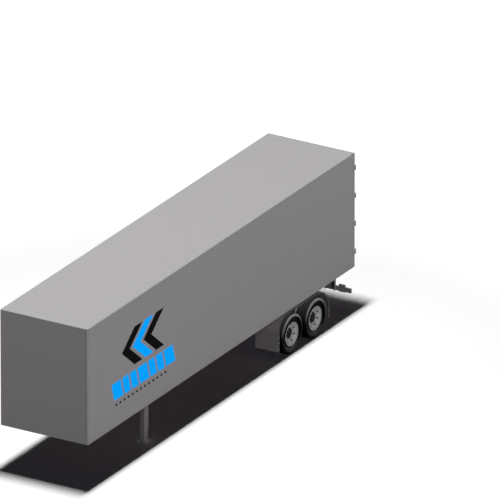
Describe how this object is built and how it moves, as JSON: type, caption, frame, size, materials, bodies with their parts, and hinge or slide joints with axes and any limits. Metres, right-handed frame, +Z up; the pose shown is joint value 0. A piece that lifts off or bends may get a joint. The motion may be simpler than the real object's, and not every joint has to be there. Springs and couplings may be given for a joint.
{
  "type": "box van semi trailer",
  "caption": "Enclosed box semi trailer with a kingpin, landing legs, a tandem of dual wheels under close covers, an underride guard and two swinging rear doors.",
  "frame": {"origin": "on the ground, under the middle of the overall length and width", "axes": "+X towards the nose, +Y to the left side, +Z up"},
  "size_m": [12.722, 2.488, 4.225],
  "materials": {
    "body_skin": "satin light grey paint",
    "frame_paint": "satin grey paint",
    "chassis_paint": "semi-gloss black chassis paint",
    "leg_paint": "dark grey paint",
    "cover_metal": "dark grey paint",
    "galvanised": "galvanised steel",
    "bare_steel": "worn bare steel",
    "wheel_paint": "grey wheel paint",
    "hub_iron": "black painted iron",
    "tyre": "road tyre rubber",
    "seal_rubber": "door seal rubber",
    "floor_wood": "laminated hardwood",
    "aluminium": "mill finish",
    "lamp_lens": "red lens"
  },
  "bodies": {
    "chassis": {"air_tank": "chassis_paint", "axle_front": "chassis_paint", "axle_rear": "chassis_paint", "bottom_rails": "frame_paint", "brakes_front": "chassis_paint", "brakes_rear": "chassis_paint", "connectors": "galvanised", "coupler_plate": "chassis_paint", "crossmembers": "chassis_paint", "dock_bumpers": "seal_rubber", "equalizers": "chassis_paint", "floor_deck": "floor_wood", "front_frame": "frame_paint", "front_wall": "body_skin", "hinge_butts": "galvanised", "hinge_pins": "bare_steel", "kingpin": "bare_steel", "lamp_boxes": "cover_metal", "landing_braces": "leg_paint", "landing_cross_shaft": "leg_paint", "landing_feet": "leg_paint", "landing_legs_inner": "leg_paint", "landing_legs_outer": "leg_paint", "leaf_springs": "chassis_paint", "marker_lamps": "lamp_lens", "radius_rods": "chassis_paint", "rear_frame": "frame_paint", "rear_guard": "cover_metal", "roof_bows": "aluminium", "roof_sheet": "body_skin", "scuff_bands": "aluminium", "side_wall_left": "body_skin", "side_wall_right": "body_skin", "spring_clamps": "galvanised", "suspension_frame": "chassis_paint", "suspension_hangers": "chassis_paint", "tail_lamps": "lamp_lens", "top_rails": "frame_paint", "wheel_cover_left": "cover_metal", "wheel_cover_right": "cover_metal"},
    "door_left": {"door_hardware_left": "galvanised", "door_panel_left": "body_skin", "door_seal_left": "seal_rubber"},
    "door_right": {"door_hardware_right": "galvanised", "door_panel_right": "body_skin", "door_seal_right": "seal_rubber"},
    "wheel_front_left": {"hub_drum_front_left": "hub_iron", "tyres_front_left": "tyre", "wheels_front_left": "wheel_paint"},
    "wheel_front_right": {"hub_drum_front_right": "hub_iron", "tyres_front_right": "tyre", "wheels_front_right": "wheel_paint"},
    "wheel_rear_left": {"hub_drum_rear_left": "hub_iron", "tyres_rear_left": "tyre", "wheels_rear_left": "wheel_paint"},
    "wheel_rear_right": {"hub_drum_rear_right": "hub_iron", "tyres_rear_right": "tyre", "wheels_rear_right": "wheel_paint"}
  },
  "joints": [
    {"name": "door_left_hinge", "type": "hinge", "parent": "chassis", "child": "door_left", "pos_m": [-6.324, 1.231, 2.726], "axis": [0, 0, 1], "range_deg": [-262, 0]},
    {"name": "door_right_hinge", "type": "hinge", "parent": "chassis", "child": "door_right", "pos_m": [-6.324, -1.231, 2.726], "axis": [0, 0, 1], "range_deg": [0, 262]},
    {"name": "wheel_front_left_spin", "type": "hinge", "parent": "chassis", "child": "wheel_front_left", "pos_m": [-3.339, 0.908, 0.515], "axis": [0, 1, 0], "continuous": true},
    {"name": "wheel_front_right_spin", "type": "hinge", "parent": "chassis", "child": "wheel_front_right", "pos_m": [-3.339, -0.908, 0.515], "axis": [0, 1, 0], "continuous": true},
    {"name": "wheel_rear_left_spin", "type": "hinge", "parent": "chassis", "child": "wheel_rear_left", "pos_m": [-4.462, 0.908, 0.515], "axis": [0, 1, 0], "continuous": true},
    {"name": "wheel_rear_right_spin", "type": "hinge", "parent": "chassis", "child": "wheel_rear_right", "pos_m": [-4.462, -0.908, 0.515], "axis": [0, 1, 0], "continuous": true}
  ]
}
